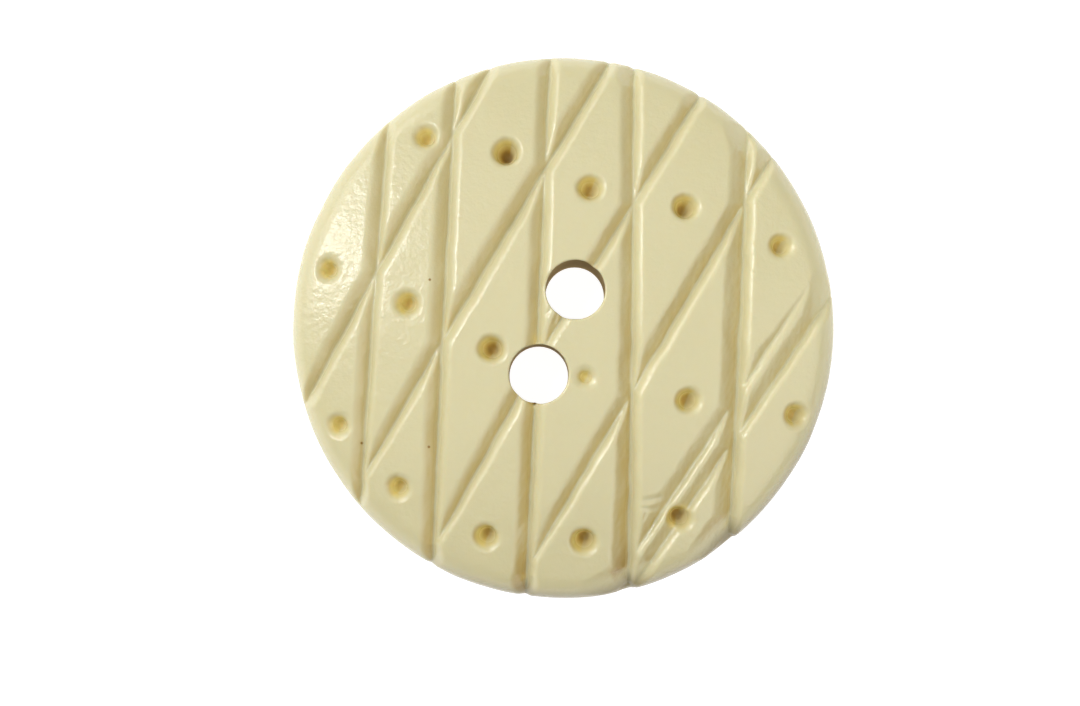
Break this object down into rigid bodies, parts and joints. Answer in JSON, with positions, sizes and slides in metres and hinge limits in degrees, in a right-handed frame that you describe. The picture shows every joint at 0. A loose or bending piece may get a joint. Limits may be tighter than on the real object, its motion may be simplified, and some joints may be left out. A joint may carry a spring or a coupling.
{
  "type": "sew on button",
  "caption": "Round domed sew-through button with sewing holes near its centre, carved with crossing V grooves and drilled pits.",
  "frame": {"origin": "centre of the flat back face", "axes": "+Z out of the carved face, +Y up the face along the upright grooves, +X to the right seen from the front"},
  "size_m": [0.0203, 0.0202, 0.0028],
  "materials": {
    "bone": "polished cream bone, satin to glossy, browner inside the drilled pits"
  },
  "bodies": {
    "root": {"button_disc": "bone"}
  },
  "joints": []
}
